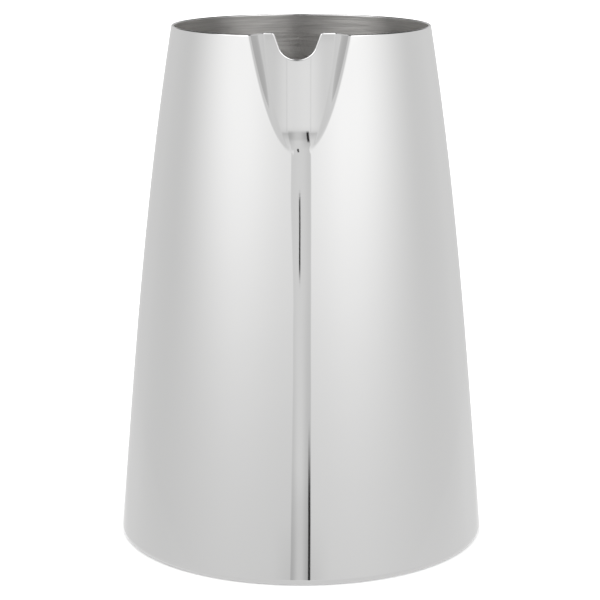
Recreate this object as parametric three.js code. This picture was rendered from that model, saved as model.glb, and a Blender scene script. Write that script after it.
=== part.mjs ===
// A polished steel mixing vessel for a bar: wide at the base, narrower at the mouth, with sides
// that bow gently and a spout pulled out of the wall and notched at the lip.
// Two pieces of sheet steel: the wall, whose foot is turned in, and the bottom plate lapped on it.
// Millimetres, +Z up. The origin is the centre of the face it stands on. The spout points to -Y.
import * as THREE from "three";

// Wall: its outer radius runs from the base to the mouth on a cubic Bezier curve whose two
// handles lie at a third and two thirds of the height.
const HEIGHT = 140;
const BASE_RADIUS = 50.1;
const LOWER_HANDLE_RADIUS = 46.1;
const UPPER_HANDLE_RADIUS = 42.4;
const MOUTH_RADIUS = 34.6;
const SHEET = 0.8;

// Foot: the wall turns in through a small round to a flat ring that the vessel stands on.
const FOOT_ROUND = 1.5;
const RING_INNER_RADIUS = 41;

// Bottom plate: a flat rim that laps the ring, and a middle raised clear of the table.
const LAP_GAP = 0.3;
const PLATE_RADIUS = 47.2;
const PANEL_RADIUS = 37;
const PANEL_RISE = 1.6;
const PANEL_STEP_WIDTH = 3.2;

// Spout: an arch-shaped field of the wall with a flatter face, which leans out towards the lip.
const SPOUT_FOOT = 111;
const SPOUT_OFFSET = -0.4;
const SPOUT_HALF_WIDTH = 13.1;
const ARCH_POWER = 0.41;
const SPOUT_REACH = 5.9;
const SPOUT_TOE = 0.15;
const SPOUT_FACE_RADIUS = 52;
const LIP_RISE = 1.2;
// The face's share of the spout's half width, and how much larger it is at the spout's foot.
const FACE_SHARE = 0.66;
const FACE_SPREAD = 0.1;
// Beside the face is a flank, whose crest and fold are rounded over these shares of its width.
const CREST_SHARE = 0.16;
const FOLD_SHARE = 0.22;
const FOLD_SPREAD = 0.3;

// Notch in the spout's lip: round bottom, two straight flanks, two rounded shoulders.
const NOTCH_DEPTH = 6.65;
const NOTCH_ROUND = 4.95;
const NOTCH_FLANK = THREE.MathUtils.degToRad(21);
const NOTCH_SHOULDER = 0.7;
const NOTCH_OFFSET = -0.95;
// The lip is cut square to the sheet, and these chamfers stand for its rounded edges.
const OUTER_CHAMFER = 0.32;
const INNER_CHAMFER = 0.15;

// Fineness of the wall's grid.
const NOTCH_COLUMNS = 24;
const FLANK_COLUMNS = 11;
const BODY_COLUMNS = 46;
const PLATE_SEGMENTS = 60;
const WALL_ROWS = 5;
const SPOUT_ROWS = 7;
const ROUND_ROWS = 3;
const STEP_ROWS = 4;
// Half widths, at the mouth, of the stretch of closest slices and of the next closest.
const NOTCH_STRETCH = 7.6;
const FLANK_STRETCH = SPOUT_HALF_WIDTH + 0.8;

const footSlope = (3 * (BASE_RADIUS - LOWER_HANDLE_RADIUS)) / HEIGHT;
const footLean = Math.atan(footSlope);
const footTop = FOOT_ROUND * (1 + Math.sin(footLean));
const footCentreRadius = wallRadius(footTop) - FOOT_ROUND * Math.cos(footLean);

const { lerp, clamp, smoothstep } = THREE.MathUtils;

// Outer radius of the plain wall at height z.
function wallRadius(z) {
  const t = z / HEIGHT;
  const s = 1 - t;
  return (
    s ** 3 * BASE_RADIUS +
    3 * s * s * t * LOWER_HANDLE_RADIUS +
    3 * s * t * t * UPPER_HANDLE_RADIUS +
    t ** 3 * MOUTH_RADIUS
  );
}

// How far up the spout z is, from 0 at its foot to 1 at the mouth.
function spoutShare(z) {
  return Math.max((z - SPOUT_FOOT) / (HEIGHT - SPOUT_FOOT), 0);
}

// How strongly the spout's own surface takes over from the wall, from 0 to 1, at a distance off
// from the spout's middle and at height z: all of it on the face, and less down the flank.
function spoutWeight(off, z) {
  const share = spoutShare(z);
  const halfWidth = SPOUT_HALF_WIDTH * share ** ARCH_POWER;
  if (!(Math.abs(off) < halfWidth)) return 0;
  const drop = 1 - Math.min(share, 1);
  const face = FACE_SHARE + FACE_SPREAD * drop;
  const fold = FOLD_SHARE + FOLD_SPREAD * drop;
  const flank = Math.max((Math.abs(off) / halfWidth - face) / (1 - face), 0);
  const steepness = 2 / (2 - CREST_SHARE - fold);
  if (flank < CREST_SHARE) return 1 - (steepness * flank * flank) / (2 * CREST_SHARE);
  if (flank < 1 - fold) return 1 - steepness * (flank - CREST_SHARE / 2);
  return (steepness * (1 - flank) ** 2) / (2 * fold);
}

// How far the spout's middle stands out from the wall at height z: a soft toe, then straight.
function spoutReach(z) {
  const toe = (t) => Math.hypot(t, SPOUT_TOE) - SPOUT_TOE;
  return (SPOUT_REACH * toe(spoutShare(z))) / toe(1);
}

// Height of the notch's edge above the notch's bottom, at a distance x from its middle.
function notchEdge(x) {
  const turn = Math.PI / 2 - NOTCH_FLANK;
  const roundX = NOTCH_ROUND * Math.sin(turn);
  const roundZ = NOTCH_ROUND * (1 - Math.cos(turn));
  const shoulderZ = NOTCH_DEPTH - NOTCH_SHOULDER * (1 - Math.cos(turn));
  const flankX = roundX + (shoulderZ - roundZ) * Math.tan(NOTCH_FLANK);
  const shoulderX = flankX + NOTCH_SHOULDER * Math.sin(turn);
  const d = Math.abs(x);
  if (d < roundX) return NOTCH_ROUND - Math.sqrt(NOTCH_ROUND ** 2 - d * d);
  if (d < flankX) return roundZ + (d - roundX) / Math.tan(NOTCH_FLANK);
  if (d < shoulderX) {
    return NOTCH_DEPTH - NOTCH_SHOULDER + Math.sqrt(NOTCH_SHOULDER ** 2 - (shoulderX - d) ** 2);
  }
  return NOTCH_DEPTH;
}

// Height of the lip at the angle turn from the spout's middle.
function lipHeight(turn) {
  if (Math.abs(turn) > Math.PI / 2) return HEIGHT;
  const x = MOUTH_RADIUS * Math.sin(turn);
  const rise = LIP_RISE * spoutWeight(x - SPOUT_OFFSET, HEIGHT);
  return HEIGHT + rise - NOTCH_DEPTH + notchEdge(x - NOTCH_OFFSET);
}

// A point of the outer surface, at the angle turn from the spout's middle and at height z.
function outerPoint(turn, z) {
  const r = wallRadius(z);
  const x = r * Math.sin(turn);
  const wallY = -r * Math.cos(turn);
  if (Math.abs(turn) > Math.PI / 2) return new THREE.Vector3(x, wallY, z);
  const off = x - SPOUT_OFFSET;
  const faceY = -(r + spoutReach(z)) + (off * off) / (2 * SPOUT_FACE_RADIUS);
  return new THREE.Vector3(x, lerp(wallY, faceY, spoutWeight(off, z)), z);
}

// The outward normal of the outer surface there.
function outerNormal(turn, z) {
  const step = 1e-3;
  const along = outerPoint(turn + step, z).sub(outerPoint(turn - step, z));
  const up = outerPoint(turn, z + step).sub(outerPoint(turn, z - step));
  return along.cross(up).normalize();
}

// Points of the outer surface and of the inner one, a sheet's thickness behind it.
function outerAndInner(turn, z) {
  const outer = outerPoint(turn, z);
  return [outer, outer.clone().addScaledVector(outerNormal(turn, z), -SHEET)];
}

// The edge of the lip at the angle turn, from its outer side over to its inner side.
function lipEdge(turn) {
  const step = 1e-3;
  const edge = (a) => outerPoint(a, lipHeight(a));
  const normal = outerNormal(turn, lipHeight(turn));
  const along = edge(turn + step).sub(edge(turn - step)).normalize();
  const up = normal.clone().cross(along).normalize();
  const corners = [
    [0, OUTER_CHAMFER],
    [OUTER_CHAMFER, 0],
    [SHEET - INNER_CHAMFER, 0],
    [SHEET, INNER_CHAMFER],
  ];
  return corners.map(([inwards, down]) =>
    edge(turn).addScaledVector(normal, -inwards).addScaledVector(up, -down),
  );
}

// A point of the foot's profile, turned to the angle turn.
function footPoint(turn, radius, z) {
  return new THREE.Vector3(radius * Math.sin(turn), -radius * Math.cos(turn), z);
}

// The turned-in foot at the angle turn: its underside outwards, then its upper side inwards.
function footProfile(turn, isOuter) {
  const radius = isOuter ? FOOT_ROUND : FOOT_ROUND - SHEET;
  const points = [footPoint(turn, RING_INNER_RADIUS, FOOT_ROUND - radius)];
  for (let i = 0; i <= ROUND_ROWS; i++) {
    const a = lerp(-Math.PI / 2, footLean, i / ROUND_ROWS);
    const r = footCentreRadius + radius * Math.cos(a);
    points.push(footPoint(turn, r, FOOT_ROUND + radius * Math.sin(a)));
  }
  return points;
}

// One upright slice of the wall as a closed loop of points: up the outside, over the lip and
// down the inside.
function wallSlice(turn) {
  const plainTop = SPOUT_FOOT - 2;
  const gridTop = lipHeight(turn) - 2 * SHEET;
  const heights = [];
  for (let i = 1; i <= WALL_ROWS; i++) heights.push(lerp(footTop, plainTop, i / WALL_ROWS));
  for (let i = 1; i <= SPOUT_ROWS; i++) heights.push(lerp(plainTop, gridTop, i / SPOUT_ROWS));
  const pairs = heights.map((z) => outerAndInner(turn, z));
  return [
    ...footProfile(turn, true),
    ...pairs.map((pair) => pair[0]),
    ...lipEdge(turn),
    ...pairs.map((pair) => pair[1]).reverse(),
    ...footProfile(turn, false).reverse(),
  ];
}

// The angles of the wall's slices: close together across the notch and the spout's flanks.
function sliceAngles() {
  const notchTurn = Math.asin(NOTCH_STRETCH / MOUTH_RADIUS);
  const flankTurn = Math.asin(FLANK_STRETCH / MOUTH_RADIUS);
  const stretches = [
    [-notchTurn, notchTurn, NOTCH_COLUMNS],
    [notchTurn, flankTurn, FLANK_COLUMNS],
    [flankTurn, 2 * Math.PI - flankTurn, BODY_COLUMNS],
    [2 * Math.PI - flankTurn, 2 * Math.PI - notchTurn, FLANK_COLUMNS],
  ];
  return stretches.flatMap(([from, to, count]) =>
    Array.from({ length: count }, (_, i) => {
      const turn = lerp(from, to, i / count);
      return turn > Math.PI ? turn - 2 * Math.PI : turn;
    }),
  );
}

// A ring-shaped solid from a circle of closed slices.
function solidFromSlices(slices) {
  const rows = slices[0].length;
  const index = [];
  slices.forEach((_, i) => {
    const next = (i + 1) % slices.length;
    for (let j = 0; j < rows; j++) {
      const above = (j + 1) % rows;
      const [a, b, c, d] = [i * rows + j, next * rows + j, next * rows + above, i * rows + above];
      index.push(a, b, c, a, c, d);
    }
  });
  const geometry = new THREE.BufferGeometry().setFromPoints(slices.flat());
  geometry.setIndex(index);
  geometry.computeVertexNormals();
  return geometry;
}

function buildWall() {
  const material = new THREE.MeshStandardMaterial({ color: 0xd9dadb, roughness: 0.06, metalness: 1 });
  const wall = new THREE.Mesh(solidFromSlices(sliceAngles().map(wallSlice)), material);
  wall.name = "body_wall";
  return wall;
}

// The bottom plate's underside height at a radius: flat rim, eased step, flat middle.
function plateHeight(radius) {
  const share = clamp((radius - PANEL_RADIUS) / PANEL_STEP_WIDTH, 0, 1);
  return PANEL_RISE * (1 - smoothstep(share, 0, 1));
}

function buildBottomPlate() {
  const radii = [0];
  for (let i = 0; i <= STEP_ROWS; i++) radii.push(PANEL_RADIUS + (PANEL_STEP_WIDTH * i) / STEP_ROWS);
  radii.push(PLATE_RADIUS);
  const under = radii.map((r) => new THREE.Vector2(r, plateHeight(r)));
  const over = radii.map((r) => new THREE.Vector2(r, plateHeight(r) + SHEET)).reverse();
  const geometry = new THREE.LatheGeometry([...under, ...over], PLATE_SEGMENTS);
  const material = new THREE.MeshStandardMaterial({ color: 0xb9babb, roughness: 0.3, metalness: 1 });
  const plate = new THREE.Mesh(geometry, material);
  plate.name = "bottom_plate";
  plate.rotation.x = Math.PI / 2;
  plate.position.z = SHEET + LAP_GAP;
  return plate;
}

const mixingVessel = new THREE.Group();
mixingVessel.add(buildWall(), buildBottomPlate());

export default mixingVessel;
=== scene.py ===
"""Looks for the polished steel mixing vessel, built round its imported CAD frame. Metres, +Z up.

The wall and the bottom plate are rebuilt here as fine meshes of the same sheet: the wall with its
bowed side, turned-in foot, pulled spout, notched lip and rolled edge, and the plate with its
raised panel. Two weld beads close the lap seam between them. The spout points to -Y.
"""

import math
from functools import reduce
from types import SimpleNamespace

import bpy
import numpy as np
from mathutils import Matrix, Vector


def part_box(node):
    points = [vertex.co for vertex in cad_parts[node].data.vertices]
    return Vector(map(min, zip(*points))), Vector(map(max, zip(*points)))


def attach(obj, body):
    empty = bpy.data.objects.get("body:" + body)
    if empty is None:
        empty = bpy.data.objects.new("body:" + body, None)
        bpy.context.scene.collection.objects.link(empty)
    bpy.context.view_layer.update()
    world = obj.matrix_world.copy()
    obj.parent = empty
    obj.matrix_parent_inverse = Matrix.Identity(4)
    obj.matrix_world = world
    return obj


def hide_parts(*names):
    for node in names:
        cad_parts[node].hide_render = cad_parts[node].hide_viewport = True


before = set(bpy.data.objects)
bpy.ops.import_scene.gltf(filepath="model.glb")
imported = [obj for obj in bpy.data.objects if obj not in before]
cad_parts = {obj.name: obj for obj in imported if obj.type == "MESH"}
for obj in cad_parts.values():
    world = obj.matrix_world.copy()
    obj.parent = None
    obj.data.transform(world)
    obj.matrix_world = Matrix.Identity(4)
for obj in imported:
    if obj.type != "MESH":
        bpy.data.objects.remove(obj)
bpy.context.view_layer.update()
plate_low, plate_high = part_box("bottom_plate")

MM = 0.001

# Wall: its outer radius follows a cubic Bezier curve from the base to the mouth.
HEIGHT = 140 * MM
BASE_RADIUS = 50.1 * MM
LOWER_HANDLE_RADIUS = 46.1 * MM
UPPER_HANDLE_RADIUS = 42.4 * MM
MOUTH_RADIUS = 34.6 * MM
SHEET = 0.8 * MM

# Foot: a small round, then a flat ring whose inner edge is rounded too.
FOOT_ROUND = 1.5 * MM
RING_INNER_RADIUS = 41 * MM
RING_EDGE_ROUND = 0.25 * MM
RING_MARGIN = 0.9 * MM

# Bottom plate: a raised panel, an eased step down from it, and a flat rim.
PANEL_RADIUS = 37 * MM
PANEL_RISE = 1.6 * MM
PANEL_STEP_WIDTH = 3.2 * MM
PANEL_FIRST_RING = 4 * MM
PANEL_LAST_RING = 34 * MM
RIM_RING = 43 * MM

# Weld beads that close the lap: how far each one's middle stands off the plate's edge or the
# ring's, how high over the ring's upper side it lies, and its width.
INSIDE_BEAD_OUT = 0.25 * MM
INSIDE_BEAD_UP = 0.4 * MM
INSIDE_BEAD_WIDTH = 1.0 * MM
UNDER_BEAD_IN = 0.05 * MM
UNDER_BEAD_UP = 0.15 * MM
UNDER_BEAD_WIDTH = 0.7 * MM
BEAD_RIPPLES = 180
BEAD_RIPPLE_DEPTH = 0.06

# Spout: an arch-shaped field of the wall with a flatter face, which leans out towards the lip.
SPOUT_FOOT = 111 * MM
SPOUT_OFFSET = -0.4 * MM
SPOUT_HALF_WIDTH = 13.1 * MM
ARCH_POWER = 0.41
SPOUT_REACH = 5.9 * MM
SPOUT_TOE = 0.15
SPOUT_FACE_RADIUS = 52 * MM
LIP_RISE = 1.2 * MM
# The face's share of the spout's half width, and how much larger it is at the spout's foot.
FACE_SHARE = 0.66
FACE_SPREAD = 0.1
# Beside the face is a flank, whose crest and fold are rounded over these shares of its width.
CREST_SHARE = 0.16
FOLD_SHARE = 0.22
FOLD_SPREAD = 0.3
# Least half width, so that nothing is divided by zero below the spout.
LEAST_WIDTH = 1e-6 * MM

# Notch in the spout's lip, and the rounds of the lip's two edges.
NOTCH_DEPTH = 6.65 * MM
NOTCH_ROUND = 4.95 * MM
NOTCH_FLANK = math.radians(21)
NOTCH_SHOULDER = 0.7 * MM
NOTCH_OFFSET = -0.95 * MM
OUTER_LIP_ROUND = 0.35 * MM
INNER_LIP_ROUND = 0.25 * MM

# Fineness of the meshes. The stretches are half widths at the mouth, of the closest columns of
# the wall and of the next closest. The plain wall's rows end a little under the spout.
NOTCH_STRETCH = 7.6 * MM
FLANK_STRETCH = SPOUT_HALF_WIDTH + 0.8 * MM
NOTCH_COLUMNS = 112
FLANK_COLUMNS = 52
BODY_COLUMNS = 224
PLAIN_TOP = SPOUT_FOOT - 2 * MM
OUTER_ROWS = SimpleNamespace(foot=12, plain=34, spout=46)
INNER_ROWS = SimpleNamespace(foot=8, plain=26, spout=40)
LIP_ROWS = 7
RING_EDGE_ROWS = 4
RING_ROWS = 3
# Heights above the foot's round of the first rows, and places of the last rows under the lip's
# round, as shares of the way down from it to the notch's shoulder.
ROWS_ABOVE_FOOT = np.array([0.05, 0.3, 1.2]) * MM
ROWS_UNDER_LIP = (0.8, 0.4, 0.15)
# The lip's rows stand square to its edge only where the cosine of their angle is above this.
FRONT_OF_LIP = 0.3
PLATE_COLUMNS = 180
PANEL_ROWS = 11
PANEL_STEP_ROWS = 14
PLATE_EDGE_ROWS = 8
BEAD_COLUMNS = 720
BEAD_SIDES = 10
# Small steps in angle and in height, for finding directions along the surface.
TURN_STEP = 1e-3
HEIGHT_STEP = TURN_STEP * MM

# Mirror polish: hairlines round the body, cloudy patches that are a little less sharp, and the
# long wave left by the press. Scales here and below are repeats to the metre.
POLISHED_COLOUR = (0.62, 0.619, 0.617)
POLISHED_ROUGHNESS = 0.012
HAIRLINES_ALONG = 40
HAIRLINES_ACROSS = 5200
HAIRLINE_ROUGHNESS = 0.02
HAIRLINE_BUMP = 0.15
HAIRLINE_DEPTH = 0.004 * MM
CLOUD_SCALE = 45
CLOUD_RANGE = (0.4, 0.75)
CLOUD_ROUGHNESS = 0.015
WAVE_SCALE = 60
WAVE_DEPTH = 0.02 * MM

# Brushing: its streaks run round the axis, long one way and fine the other, and a finer set lies
# over a coarser one. They vary the roughness and take the colour from a darker share of itself
# to a lighter one, as their noise runs through its range.
INSIDE_COLOUR = (0.725, 0.713, 0.695)
INSIDE_ROUGHNESS = 0.36
PLATE_COLOUR = (0.56, 0.56, 0.56)
PLATE_ROUGHNESS = 0.3
BRUSHING_ANISOTROPY = 0.85
BRUSHING_ROTATION = 0.25
STREAK_RANGE = (0.35, 0.65)
STREAK_SMOOTHER = 0.06
STREAK_ROUGHER = 0.07
STREAK_DARK = 0.88
STREAK_LIGHT = 1.08
STREAK_BUMP = 0.1
STREAK_DEPTH = 0.02 * MM
WALL_STREAKS_ALONG = 80.0
WALL_STREAKS_ACROSS = 3000.0
PLATE_STREAKS_ALONG = 35.0
PLATE_STREAKS_ACROSS = 2600.0
FINE_STREAKS = 3.7
COARSE_SHARE = 0.6

# Weld metal, with the fine grain that it sets in.
WELD_COLOUR = (0.5, 0.49, 0.48)
WELD_GRAIN = 2500
WELD_GRAIN_RANGE = (0.3, 0.7)
WELD_ROUGHNESS = (0.28, 0.45)
WELD_GRAIN_BUMP = 0.3
WELD_GRAIN_DEPTH = 0.03 * MM

# Light from round the vessel. The levels are multiples of plain white, or shares of the upper
# boards' level. The ceiling's white comes in between two lifts in degrees.
UPPER_BOARDS = 2.55
UPPER_BOARDS_MIDDLE = 0.22
UPPER_BOARDS_END = 0.02
UPPER_TENT = 0.05
CEILING_FROM = 66
CEILING_TO = 82
LIGHT_FROM_BELOW = 0.93
LIGHT_ON_FLOOR = 1.5
FLOOR_WHITE = 0.93
FLOOR_HALF_WIDTH = 4.0

# Camera: its distance and height in heights of the vessel, its tilt and its lens.
CAMERA_DISTANCE = 3.87 * HEIGHT
CAMERA_HEIGHT = 1.328 * HEIGHT
CAMERA_TILT = math.radians(12.63)
CAMERA_LENS = 121.13
CAMERA_SENSOR = 36
CAMERA_SHIFT = -0.0019


# ---------------------------------------------------------------- shape of the wall

def wall_radius(z):
    """Outer radius of the plain wall at height z."""
    t = z / HEIGHT
    s = 1 - t
    return (s**3 * BASE_RADIUS + 3 * s * s * t * LOWER_HANDLE_RADIUS
            + 3 * s * t * t * UPPER_HANDLE_RADIUS + t**3 * MOUTH_RADIUS)


def spout_share(z):
    """How far up the spout z is, from 0 at its foot to 1 at the mouth."""
    return np.clip((z - SPOUT_FOOT) / (HEIGHT - SPOUT_FOOT), 0, None)


def spout_weight(x, z):
    """How strongly the spout's own surface takes over from the wall, from 0 to 1."""
    half_width = np.maximum(SPOUT_HALF_WIDTH * spout_share(z) ** ARCH_POWER, LEAST_WIDTH)
    drop = 1 - np.clip(spout_share(z), 0, 1)
    face = FACE_SHARE + FACE_SPREAD * drop
    fold_share = FOLD_SHARE + FOLD_SPREAD * drop
    flank = np.clip((np.abs(x) / half_width - face) / (1 - face), 0, 1)
    steepness = 1 / (1 - CREST_SHARE / 2 - fold_share / 2)
    crest = steepness * flank**2 / (2 * CREST_SHARE)
    straight = steepness * (flank - CREST_SHARE / 2)
    fold = 1 - steepness * (1 - flank) ** 2 / (2 * fold_share)
    return 1 - np.select([flank < CREST_SHARE, flank < 1 - fold_share], [crest, straight], fold)


def spout_reach(z):
    """How far the spout's middle stands out from the wall: a soft toe, then straight."""
    def toe(t):
        return np.hypot(t, SPOUT_TOE) - SPOUT_TOE
    return SPOUT_REACH * toe(spout_share(z)) / toe(1.0)


def notch_edge(x):
    """Height of the notch's edge above its bottom, at a distance x from its middle."""
    turn = math.pi / 2 - NOTCH_FLANK
    round_x = NOTCH_ROUND * math.sin(turn)
    round_z = NOTCH_ROUND * (1 - math.cos(turn))
    shoulder_z = NOTCH_DEPTH - NOTCH_SHOULDER * (1 - math.cos(turn))
    flank_x = round_x + (shoulder_z - round_z) * math.tan(NOTCH_FLANK)
    shoulder_x = flank_x + NOTCH_SHOULDER * math.sin(turn)
    d = np.abs(x)
    bottom = NOTCH_ROUND - np.sqrt(np.maximum(NOTCH_ROUND**2 - d * d, 0))
    flank = round_z + (d - round_x) / math.tan(NOTCH_FLANK)
    inside = np.maximum(NOTCH_SHOULDER**2 - (shoulder_x - d) ** 2, 0)
    shoulder = NOTCH_DEPTH - NOTCH_SHOULDER + np.sqrt(inside)
    return np.select([d < round_x, d < flank_x, d < shoulder_x],
                     [bottom, flank, shoulder], NOTCH_DEPTH)


def lip_height(turn):
    """Height of the lip at the angle turn from the spout's middle."""
    x = MOUTH_RADIUS * np.sin(turn)
    rise = LIP_RISE * spout_weight(x - SPOUT_OFFSET, HEIGHT)
    front = HEIGHT + rise - NOTCH_DEPTH + notch_edge(x - NOTCH_OFFSET)
    return np.where(np.cos(turn) > 0, front, HEIGHT)


def outer_point(turn, z):
    """Points of the outer surface at angles turn from the spout's middle and heights z."""
    r = wall_radius(z)
    x = r * np.sin(turn)
    wall_y = -r * np.cos(turn)
    off = x - SPOUT_OFFSET
    face_y = -(r + spout_reach(z)) + off * off / (2 * SPOUT_FACE_RADIUS)
    weight = np.where(np.cos(turn) > 0, spout_weight(off, z), 0)
    return np.stack([x, wall_y + weight * (face_y - wall_y), z + 0 * x], axis=-1)


def unit(v):
    """The vectors, each scaled to a length of one."""
    return v / np.linalg.norm(v, axis=-1, keepdims=True)


def outer_normal(turn, z):
    """The outward normals of the outer surface there."""
    along = outer_point(turn + TURN_STEP, z) - outer_point(turn - TURN_STEP, z)
    up = outer_point(turn, z + HEIGHT_STEP) - outer_point(turn, z - HEIGHT_STEP)
    return unit(np.cross(along, up))


def lip_frame(turn):
    """The lip's edge, the sheet's outward normal there, and the way up to it along the sheet."""
    edge = outer_point(turn, lip_height(turn))
    normal = outer_normal(turn, lip_height(turn))
    ahead = outer_point(turn + TURN_STEP, lip_height(turn + TURN_STEP))
    behind = outer_point(turn - TURN_STEP, lip_height(turn - TURN_STEP))
    return edge, normal, unit(np.cross(normal, unit(ahead - behind)))


def below_lip(turn, depth):
    """The angles and heights of the points that lie depth below the lip, square to its edge."""
    edge, _, up = lip_frame(turn)
    below = edge - up * depth
    sine_below = np.clip(below[:, 0] / wall_radius(below[:, 2]), -1, 1)
    sine_edge = np.clip(edge[:, 0] / wall_radius(edge[:, 2]), -1, 1)
    shift = np.arcsin(sine_below) - np.arcsin(sine_edge)
    return turn + np.where(np.cos(turn) > FRONT_OF_LIP, shift, 0), below[:, 2]


# ---------------------------------------------------------------- meshes

def mesh_object(name, points, faces, materials, face_materials=None):
    mesh = bpy.data.meshes.new(name)
    mesh.from_pydata([tuple(p) for p in points], [], [tuple(f) for f in faces])
    for material in materials:
        mesh.materials.append(material)
    if face_materials is not None:
        mesh.polygons.foreach_set("material_index", np.asarray(face_materials, np.int32))
    mesh.polygons.foreach_set("use_smooth", np.ones(len(faces), bool))
    mesh.validate()
    mesh.update()
    obj = bpy.data.objects.new(name, mesh)
    bpy.context.scene.collection.objects.link(obj)
    return obj


def piece(obj, node_or_none):
    """Puts a piece under the root body, and hides the CAD node that it stands for, if any."""
    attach(obj, "root")
    if node_or_none:
        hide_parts(node_or_none)
    return obj


def level_rows(turn, radii, heights):
    """Rows of points round the axis, one for each radius and height, which may vary along it."""
    return [np.stack([r * np.sin(turn), -r * np.cos(turn), z + 0 * turn], axis=-1)
            for r, z in zip(radii, heights)]


def grid_faces(rows, columns, is_closed):
    """Faces between neighbouring rows that go round the axis, and from the last row back to the
    first where the grid is closed."""
    i, j = np.meshgrid(np.arange(rows if is_closed else rows - 1), np.arange(columns), indexing="ij")
    up, across = (i + 1) % rows, (j + 1) % columns
    corners = [i * columns + j, i * columns + across, up * columns + across, up * columns + j]
    return np.stack(corners, axis=-1).reshape(-1, 4)


def slice_angles():
    """Angles of the wall's columns: close together across the notch and the spout's flanks."""
    notch = math.asin(NOTCH_STRETCH / MOUTH_RADIUS)
    flank = math.asin(FLANK_STRETCH / MOUTH_RADIUS)
    full = 2 * math.pi
    stretches = [(-notch, notch, NOTCH_COLUMNS), (notch, flank, FLANK_COLUMNS),
                 (flank, full - flank, BODY_COLUMNS), (full - flank, full - notch, FLANK_COLUMNS)]
    return np.concatenate([np.linspace(a, b, n, endpoint=False) for a, b, n in stretches])


def lip_rows(turn):
    """The lip's two rounds and the flat between them, from its outer side over to its inner."""
    edge, normal, up = lip_frame(turn)
    quarter = math.pi / 2
    arcs = []
    for radius, depth, start in ((OUTER_LIP_ROUND, OUTER_LIP_ROUND, 0),
                                 (INNER_LIP_ROUND, SHEET - INNER_LIP_ROUND, quarter)):
        centre = edge - normal * depth - up * radius
        for a in np.linspace(start, start + quarter, LIP_ROWS):
            arcs.append(centre + (normal * math.cos(a) + up * math.sin(a)) * radius)
    return arcs


def foot_profile(is_outer, round_rows):
    """Radii and heights of the turned-in foot, from the ring's inner edge up to the wall."""
    lean = math.atan(3 * (BASE_RADIUS - LOWER_HANDLE_RADIUS) / HEIGHT)
    top = FOOT_ROUND * (1 + math.sin(lean))
    centre = wall_radius(top) - FOOT_ROUND * math.cos(lean)
    radius = FOOT_ROUND if is_outer else FOOT_ROUND - SHEET
    edge = np.linspace(0, math.pi / 2, RING_EDGE_ROWS)
    edge_z = RING_EDGE_ROUND * (1 - np.sin(edge))
    if not is_outer:
        edge_z = SHEET - edge_z
    edge_r = RING_INNER_RADIUS + RING_EDGE_ROUND * (1 - np.cos(edge))
    flat_r = np.linspace(RING_INNER_RADIUS + RING_MARGIN, centre - RING_MARGIN, RING_ROWS)
    flat_z = np.full(RING_ROWS, FOOT_ROUND - radius)
    turn = np.linspace(-math.pi / 2, lean, round_rows)
    return (np.concatenate([edge_r, flat_r, centre + radius * np.cos(turn)]),
            np.concatenate([edge_z, flat_z, FOOT_ROUND + radius * np.sin(turn)]), top)


def wall_places(turn, foot_top, fineness, lip_round):
    """Angles and heights of the wall's rows, from the foot up to the lip's round. Those of the
    spout turn gradually square to the notch's edge, and the last ones lie close to it."""
    above_foot = foot_top + ROWS_ABOVE_FOOT
    plain = np.linspace(above_foot[-1], PLAIN_TOP, fineness.plain)[1:]
    places = [(turn, np.full_like(turn, z)) for z in np.concatenate([above_foot, plain])]
    collar = [below_lip(turn, lip_round + (NOTCH_SHOULDER - lip_round) * f) for f in ROWS_UNDER_LIP]
    last_turn, last_z = collar[0]
    for share in np.linspace(0, 1, fineness.spout)[1:]:
        places.append((turn + (last_turn - turn) * share**3,
                       PLAIN_TOP + (last_z - PLAIN_TOP) * share))
    return places + collar[1:]


def build_wall(outside, inside):
    turn = slice_angles()
    outer_r, outer_z, foot_top = foot_profile(True, OUTER_ROWS.foot)
    inner_r, inner_z, _ = foot_profile(False, INNER_ROWS.foot)
    outer_places = wall_places(turn, foot_top, OUTER_ROWS, OUTER_LIP_ROUND)
    inner_places = wall_places(turn, foot_top, INNER_ROWS, INNER_LIP_ROUND)
    outer_rows = level_rows(turn, outer_r, outer_z) + [outer_point(a, z) for a, z in outer_places]
    outer_rows += lip_rows(turn)
    inner_rows = level_rows(turn, inner_r, inner_z)
    inner_rows += [outer_point(a, z) - outer_normal(a, z) * SHEET for a, z in inner_places]
    grid = np.stack(outer_rows + inner_rows[::-1])
    is_inside = (np.arange(len(grid)) >= len(outer_rows) - 1).astype(int)
    obj = mesh_object("body_wall_fine", grid.reshape(-1, 3), grid_faces(len(grid), len(turn), True),
                      [outside, inside], np.repeat(is_inside, len(turn)))
    return piece(obj, "body_wall")


def smooth_step(t):
    """An eased step from 0 to 1 as t goes from 0 to 1."""
    t = np.clip(t, 0, 1)
    return t * t * (3 - 2 * t)


def plate_profile():
    """Radii and heights of the dished plate, as one loop that starts and ends on the axis: the
    underside outwards, the rounded edge, and the upper side inwards."""
    edge = plate_high.x - SHEET / 2
    panel = np.linspace(PANEL_FIRST_RING, PANEL_LAST_RING, PANEL_ROWS)
    step = PANEL_RADIUS + PANEL_STEP_WIDTH * np.linspace(0, 1, PANEL_STEP_ROWS)
    radii = np.concatenate([[0], panel, step, [RIM_RING, edge]])
    rise = PANEL_RISE * (1 - smooth_step((radii - PANEL_RADIUS) / PANEL_STEP_WIDTH))
    under = np.stack([radii, plate_low.z + rise], axis=-1)
    turn = np.linspace(-math.pi / 2, math.pi / 2, PLATE_EDGE_ROWS)[1:-1]
    nose = np.stack([edge + SHEET / 2 * np.cos(turn),
                     plate_low.z + SHEET / 2 + SHEET / 2 * np.sin(turn)], axis=-1)
    return np.concatenate([under, nose, under[::-1] + [0, SHEET]])


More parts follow.
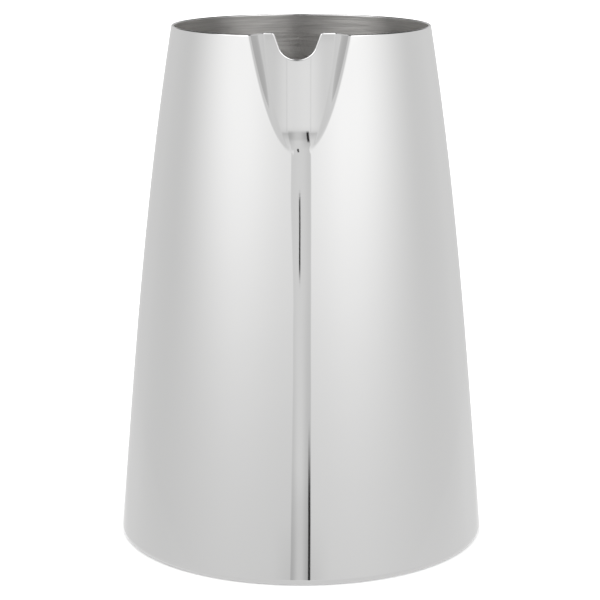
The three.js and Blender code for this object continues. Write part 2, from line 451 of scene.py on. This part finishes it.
def build_bottom_plate(metal):
    profile = plate_profile()
    ring = profile[1:-1]
    turn = np.linspace(0, 2 * math.pi, PLATE_COLUMNS, endpoint=False)
    points = np.stack(level_rows(turn, ring[:, 0], ring[:, 1])).reshape(-1, 3)
    tips = [(0, 0, profile[0, 1]), (0, 0, profile[-1, 1])]
    faces = grid_faces(len(ring), PLATE_COLUMNS, False).tolist()
    last_row = (len(ring) - 1) * PLATE_COLUMNS
    for j in range(PLATE_COLUMNS):
        following = (j + 1) % PLATE_COLUMNS
        faces.append((len(points), following, j))
        faces.append((len(points) + 1, last_row + j, last_row + following))
    obj = mesh_object("bottom_plate_fine", [*points, *tips], faces, [metal])
    return piece(obj, "bottom_plate")


def build_weld_bead(name, radius, height, width, metal):
    """A fine ring of weld with a slight ripple along its length."""
    turn = np.linspace(0, 2 * math.pi, BEAD_COLUMNS, endpoint=False)
    reach = width / 2 * (1 + BEAD_RIPPLE_DEPTH * np.sin(turn * BEAD_RIPPLES))
    section = np.linspace(0, 2 * math.pi, BEAD_SIDES, endpoint=False)
    rows = level_rows(turn, [radius + reach * math.cos(a) for a in section],
                      [height + reach * math.sin(a) for a in section])
    obj = mesh_object(name, np.stack(rows).reshape(-1, 3),
                      grid_faces(BEAD_SIDES, BEAD_COLUMNS, True), [metal])
    return piece(obj, None)


# ---------------------------------------------------------------- materials

class Nodes:
    """Short forms for building a node tree."""

    def __init__(self, tree):
        self.tree = tree

    def add(self, kind, **settings):
        node = self.tree.nodes.new(kind)
        for name, value in settings.items():
            setattr(node, name, value)
        return node

    def put(self, socket, value):
        """Sets a socket to a number, or links it to a node's output."""
        if isinstance(value, (int, float)):
            socket.default_value = value
        else:
            self.link(value, socket)

    def link(self, source, target):
        self.tree.links.new(source, target)

    def math(self, operation, *values, clamp=False):
        node = self.add("ShaderNodeMath", operation=operation, use_clamp=clamp)
        for socket, value in zip(node.inputs, values):
            self.put(socket, value)
        return node.outputs[0]

    def product(self, *values):
        return reduce(lambda a, b: self.math("MULTIPLY", a, b), values)

    def ramp(self, value, low, high, out_low=0.0, out_high=1.0):
        """A smooth step of value from low to high."""
        node = self.add("ShaderNodeMapRange", interpolation_type="SMOOTHSTEP")
        self.link(value, node.inputs["Value"])
        for name, number in (("From Min", low), ("From Max", high),
                             ("To Min", out_low), ("To Max", out_high)):
            node.inputs[name].default_value = number
        return node.outputs["Result"]

    def line(self, value, low, high, out_low, out_high):
        """A straight slope of value from low to high, held at its ends."""
        result = self.ramp(value, low, high, out_low, out_high)
        result.node.interpolation_type = "LINEAR"
        return result

    def degrees(self, angle):
        return self.math("DEGREES", angle)

    def blend(self, share, a, b):
        """a where share is 0, b where it is 1."""
        node = self.add("ShaderNodeMix", data_type="FLOAT")
        for name, value in (("Factor", share), ("A", a), ("B", b)):
            self.put(node.inputs[name], value)
        return node.outputs["Result"]

    def noise(self, vector, scale, detail=2.0, roughness=0.5):
        node = self.add("ShaderNodeTexNoise")
        node.inputs["Scale"].default_value = scale
        node.inputs["Detail"].default_value = detail
        node.inputs["Roughness"].default_value = roughness
        self.link(vector, node.inputs["Vector"])
        return node.outputs["Fac"]

    def stretched(self, vector, scale):
        node = self.add("ShaderNodeVectorMath", operation="MULTIPLY")
        self.link(vector, node.inputs[0])
        node.inputs[1].default_value = scale
        return node.outputs[0]

    def bump(self, height, strength, distance, normal=None):
        node = self.add("ShaderNodeBump")
        node.inputs["Strength"].default_value = strength
        node.inputs["Distance"].default_value = distance
        self.link(height, node.inputs["Height"])
        if normal is not None:
            self.link(normal, node.inputs["Normal"])
        return node.outputs["Normal"]


def new_metal(name, colour):
    """A metal material, its nodes, its shader and the place on the piece, in metres."""
    material = bpy.data.materials.new(name)
    material.use_nodes = True
    shader = material.node_tree.nodes["Principled BSDF"]
    shader.inputs["Base Color"].default_value = (*colour, 1)
    shader.inputs["Metallic"].default_value = 1
    n = Nodes(material.node_tree)
    return material, n, shader, n.add("ShaderNodeTexCoord").outputs["Object"]


def polished_steel():
    """Mirror polish: a faint long-wave ripple left by the press, and hairlines round the body."""
    material, n, shader, place = new_metal("polished_steel", POLISHED_COLOUR)
    stretch = (HAIRLINES_ALONG, HAIRLINES_ALONG, HAIRLINES_ACROSS)
    hairlines = n.noise(n.stretched(place, stretch), 1.0, 3)
    cloud = n.noise(place, CLOUD_SCALE, 2)
    rough = n.math("MULTIPLY_ADD", hairlines, HAIRLINE_ROUGHNESS, POLISHED_ROUGHNESS)
    rough = n.math("ADD", rough, n.ramp(cloud, *CLOUD_RANGE, 0.0, CLOUD_ROUGHNESS))
    n.link(rough, shader.inputs["Roughness"])
    wave = n.bump(n.noise(place, WAVE_SCALE, 1), 1.0, WAVE_DEPTH)
    n.link(n.bump(hairlines, HAIRLINE_BUMP, HAIRLINE_DEPTH, wave), shader.inputs["Normal"])
    return material


def brushed_steel(name, colour, grain, roughness):
    """Fine brushing round the axis. grain gives, from the nodes, the place that it varies with."""
    material, n, shader, place = new_metal(name, colour)
    coarse = n.noise(grain(n, place, 1.0), 1.0, 4, 0.7)
    fine = n.noise(grain(n, place, FINE_STREAKS), 1.0, 2, 0.6)
    streaks = n.math("ADD", n.product(coarse, COARSE_SHARE), n.product(fine, 1 - COARSE_SHARE))
    rough = n.ramp(streaks, *STREAK_RANGE, roughness - STREAK_SMOOTHER, roughness + STREAK_ROUGHER)
    n.link(rough, shader.inputs["Roughness"])
    mix = n.add("ShaderNodeMix", data_type="RGBA")
    n.link(n.ramp(streaks, *STREAK_RANGE), mix.inputs["Factor"])
    mix.inputs["A"].default_value = (*(c * STREAK_DARK for c in colour), 1)
    mix.inputs["B"].default_value = (*(min(c * STREAK_LIGHT, 1) for c in colour), 1)
    n.link(mix.outputs["Result"], shader.inputs["Base Color"])
    n.link(n.bump(streaks, STREAK_BUMP, STREAK_DEPTH), shader.inputs["Normal"])
    shader.inputs["Anisotropic"].default_value = BRUSHING_ANISOTROPY
    shader.inputs["Anisotropic Rotation"].default_value = BRUSHING_ROTATION
    tangent = n.add("ShaderNodeTangent", direction_type="RADIAL", axis="Z")
    n.link(tangent.outputs[0], shader.inputs["Tangent"])
    return material


def grain_round_wall(n, place, fineness):
    """Level rings: the height runs fast and the direction slowly."""
    return n.stretched(place, (WALL_STREAKS_ALONG, WALL_STREAKS_ALONG, WALL_STREAKS_ACROSS * fineness))


def grain_round_plate(n, place, fineness):
    """Rings round the axis: the radius runs fast and the direction slowly."""
    split = n.add("ShaderNodeSeparateXYZ")
    n.link(place, split.inputs[0])
    flat = n.add("ShaderNodeCombineXYZ")
    n.link(split.outputs["X"], flat.inputs["X"])
    n.link(split.outputs["Y"], flat.inputs["Y"])
    radius = n.add("ShaderNodeVectorMath", operation="LENGTH")
    n.link(flat.outputs[0], radius.inputs[0])
    across = n.product(radius.outputs["Value"], PLATE_STREAKS_ACROSS * fineness)
    around = n.add("ShaderNodeCombineXYZ")
    n.link(n.product(split.outputs["X"], PLATE_STREAKS_ALONG), around.inputs["X"])
    n.link(n.product(split.outputs["Y"], PLATE_STREAKS_ALONG), around.inputs["Y"])
    n.link(across, around.inputs["Z"])
    return around.outputs[0]


def weld_steel():
    """Weld metal, a little duller than the sheet, with a fine grain of its own."""
    material, n, shader, place = new_metal("weld_steel", WELD_COLOUR)
    grain = n.noise(place, WELD_GRAIN, 3)
    n.link(n.ramp(grain, *WELD_GRAIN_RANGE, *WELD_ROUGHNESS), shader.inputs["Roughness"])
    n.link(n.bump(grain, WELD_GRAIN_BUMP, WELD_GRAIN_DEPTH), shader.inputs["Normal"])
    return material


# ---------------------------------------------------------------- studio
# The light comes from all round, from a white tent with two soft boards in it, and depends only
# on a ray's azimuth and its lift above the horizon. The numbers of a ramp or line below are two
# angles in degrees, and the light's level at each or the share of it that is left. Seen from the
# front, the wall's middle mirrors lifts from about -11 at its base to 14 at its mouth.

def ray_direction(n):
    """A ray's azimuth from the spout's side, positive to the right, and its lift, in degrees."""
    split = n.add("ShaderNodeSeparateXYZ")
    n.link(n.add("ShaderNodeTexCoord").outputs["Generated"], split.inputs[0])
    ahead = n.math("MULTIPLY", split.outputs["Y"], -1.0)
    azimuth = n.degrees(n.math("ARCTAN2", split.outputs["X"], ahead))
    return SimpleNamespace(
        azimuth=azimuth,
        mirrored=n.math("MULTIPLY", azimuth, -1.0),
        side=n.math("ABSOLUTE", azimuth),
        is_right=n.ramp(azimuth, -4, 4),
        lift=n.degrees(n.math("ARCSINE", split.outputs["Z"])),
    )


def soft_boards(n, ray):
    """One board at the front left and one at the front right, each full in its middle and fading
    to its ends, with a stronger stretch above."""
    spread = n.line(ray.lift, -4, 11, -2, 8)
    right_end = n.math("SUBTRACT", ray.azimuth, spread)
    left_end = n.math("SUBTRACT", ray.mirrored, spread)
    right = n.product(n.ramp(ray.azimuth, 5, 35, 0.70, 1.0), n.ramp(right_end, 38, 105, 1.0, 0.0))
    left = n.product(n.ramp(ray.mirrored, 5, 48, 0.58, 1.0), n.ramp(left_end, 48, 112, 1.0, 0.0))
    upper_right = n.product(n.ramp(ray.azimuth, 8, 30, UPPER_BOARDS_MIDDLE, 1.0),
                            n.ramp(ray.azimuth, 50, 93, 1.0, UPPER_BOARDS_END))
    upper_left = n.product(n.ramp(ray.mirrored, 4, 62, UPPER_BOARDS_MIDDLE, 1.0),
                           n.ramp(ray.mirrored, 74, 94, 1.0, UPPER_BOARDS_END))
    boards = n.blend(n.ramp(ray.lift, 14, 22), n.blend(ray.is_right, left, right),
                     n.blend(ray.is_right, upper_left, upper_right))
    level = n.math("ADD", n.ramp(ray.lift, -14, 9, 0.0, 0.50), n.ramp(ray.lift, 11, 22, 0.05, UPPER_BOARDS))
    return n.product(boards, level)


def tent(n, ray):
    """The white all round: a little darker behind, with a soft slot there, and dark above."""
    walls = n.blend(ray.is_right, n.ramp(ray.side, 130, 175, 0.88, 0.73),
                    n.ramp(ray.side, 130, 175, 0.92, 0.73))
    rear_slot = n.ramp(ray.side, 168, 173, 1.0, 0.7)
    return n.product(walls, rear_slot, n.ramp(ray.lift, 11, 22, 1.0, UPPER_TENT))


def front_shade(n, ray):
    """The slight shade low down in the middle of the front, as a share of the light."""
    is_nearby = n.product(n.ramp(ray.lift, -12.5, -10.5, 1.0, 0.0), n.ramp(ray.lift, -13.0, -12.6))
    nearby = n.blend(is_nearby, 1.0, n.ramp(ray.side, 4, 40, 0.89, 1.0))
    middle = n.blend(n.ramp(ray.lift, -11.0, -8.5, 1.0, 0.0), 1.0, n.ramp(ray.side, 5, 20, 0.91, 1.0))
    return n.product(nearby, n.blend(n.ramp(ray.lift, -12.6, -12.2), 1.0, middle))


def light_under_slot(n, ray):
    """A little more light below the slot, strongest in the middle of the front."""
    return n.product(n.ramp(ray.lift, -14.5, -12.5, 0.2, 0.08), n.ramp(ray.side, 6, 16, 1.0, 0.15),
                     n.ramp(ray.lift, -12.6, -12.2, 1.0, 0.0))


def front_slot(n, ray):
    """The slot between the boards: how far each ray is past its edge, whether the ray goes into
    it, how far it is from its middle, and the slot's light."""
    left_edge = n.math("ADD", n.line(ray.lift, -12, -4, 6.8, 5.3), n.ramp(ray.lift, -1, 5, 0.0, 2.3))
    edge = n.blend(ray.is_right, left_edge, n.line(ray.lift, -12, 5, 5.5, 7.4))
    past_edge = n.math("SUBTRACT", ray.side, edge)
    is_in = n.product(n.ramp(past_edge, -0.35, 0.35, 1.0, 0.0), n.ramp(ray.lift, -13.4, -12.2))
    off_middle = n.math("ABSOLUTE", n.math("ADD", ray.azimuth, 1.0))
    upright = n.product(n.ramp(ray.lift, -9.6, -7, 0.87, 0.985), n.ramp(ray.lift, 9, 14, 1.0, 0.2))
    sides = n.math("ADD", n.line(ray.lift, -10.8, -8.6, 0.73, 0.82), n.line(ray.lift, -8, 1, 0.0, 0.15))
    flanks = n.blend(n.ramp(off_middle, 0.6, 5.0), 1.0, sides)
    light = n.product(upright, flanks, n.ramp(ray.azimuth, 2, 6, 1.0, 0.94))
    return SimpleNamespace(past_edge=past_edge, is_in=is_in, off_middle=off_middle, light=light)


def dark_gaps(n, ray, slot):
    """Hairline gaps in the slot: one in its middle, one low down along its right edge, and the
    faint seams that carry both edges on below it."""
    middle = n.product(n.ramp(slot.off_middle, 0.35, 0.7, 0.97, 0.0),
                       n.ramp(ray.lift, 0.0, 1.2), n.ramp(ray.lift, 4.2, 4.9, 1.0, 0.0))
    off_line = n.math("ABSOLUTE", n.math("ADD", slot.past_edge, 0.85))
    low = n.product(n.ramp(off_line, 0.45, 0.95, 0.95, 0.0), n.ramp(ray.lift, -8.5, -5.5, 1.0, 0.0),
                    n.ramp(ray.lift, -13.2, -12.4), n.ramp(ray.azimuth, 2, 3))
    seam_at = n.ramp(ray.azimuth, -4, 4, 7.6, 6.45)
    off_seam = n.math("ABSOLUTE", n.math("SUBTRACT", ray.side, seam_at))
    seams = n.product(n.ramp(off_seam, 0.15, 0.6, 0.09, 0.0), n.ramp(ray.lift, -20, -18),
                      n.ramp(ray.lift, -13, -12.4, 1.0, 0.0))
    return n.math("ADD", n.math("ADD", middle, low), seams, clamp=True)


def studio_world():
    world = bpy.data.worlds.new("studio")
    world.use_nodes = True
    bpy.context.scene.world = world
    n = Nodes(world.node_tree)
    background = world.node_tree.nodes["Background"]
    background.inputs["Color"].default_value = (1, 1, 1, 1)
    ray = ray_direction(n)

    light = n.product(n.math("ADD", soft_boards(n, ray), tent(n, ray)), front_shade(n, ray))
    light = n.math("ADD", light, light_under_slot(n, ray))
    light = n.blend(n.ramp(ray.lift, -19, -16, 1.0, 0.0), light, LIGHT_FROM_BELOW)
    slot = front_slot(n, ray)
    light = n.blend(slot.is_in, light, slot.light)
    light = n.product(light, n.math("SUBTRACT", 1.0, dark_gaps(n, ray, slot)))
    light = n.blend(n.ramp(ray.lift, CEILING_FROM, CEILING_TO), light, 1.0)

    rays = n.add("ShaderNodeLightPath")
    light = n.blend(rays.outputs["Is Diffuse Ray"], light, LIGHT_ON_FLOOR)
    light = n.blend(rays.outputs["Is Camera Ray"], light, 1.0)
    n.link(light, background.inputs["Strength"])


def build_floor():
    w = FLOOR_HALF_WIDTH
    corners = [(-w, -w, 0), (w, -w, 0), (w, w, 0), (-w, w, 0)]
    material = bpy.data.materials.new("floor_paper")
    material.use_nodes = True
    shader = material.node_tree.nodes["Principled BSDF"]
    shader.inputs["Base Color"].default_value = (FLOOR_WHITE, FLOOR_WHITE, FLOOR_WHITE, 1)
    shader.inputs["Roughness"].default_value = 0.9
    shader.inputs["Specular IOR Level"].default_value = 0.1
    floor = mesh_object("floor", corners, [(0, 1, 2, 3)], [material])
    floor.visible_glossy = False


def build_camera():
    data = bpy.data.cameras.new("camera")
    data.lens = CAMERA_LENS
    data.sensor_width = CAMERA_SENSOR
    data.shift_x = CAMERA_SHIFT
    data.clip_start = 0.01
    data.clip_end = 50
    camera = bpy.data.objects.new("camera", data)
    camera.location = (0, -CAMERA_DISTANCE, CAMERA_HEIGHT)
    camera.rotation_euler = (math.pi / 2 - CAMERA_TILT, 0, 0)
    bpy.context.scene.collection.objects.link(camera)
    bpy.context.scene.camera = camera


# ---------------------------------------------------------------- scene

build_camera()
studio_world()
build_floor()
bpy.context.scene.view_settings.view_transform = "Standard"

inside_steel = brushed_steel("brushed_steel_inside", INSIDE_COLOUR, grain_round_wall, INSIDE_ROUGHNESS)
plate_steel = brushed_steel("brushed_steel_plate", PLATE_COLOUR, grain_round_plate, PLATE_ROUGHNESS)
weld = weld_steel()
build_wall(polished_steel(), inside_steel)
build_bottom_plate(plate_steel)
build_weld_bead("lap_weld_inside", plate_high.x + INSIDE_BEAD_OUT, SHEET + INSIDE_BEAD_UP,
                INSIDE_BEAD_WIDTH, weld)
build_weld_bead("lap_weld_underneath", RING_INNER_RADIUS - UNDER_BEAD_IN, SHEET + UNDER_BEAD_UP,
                UNDER_BEAD_WIDTH, weld)
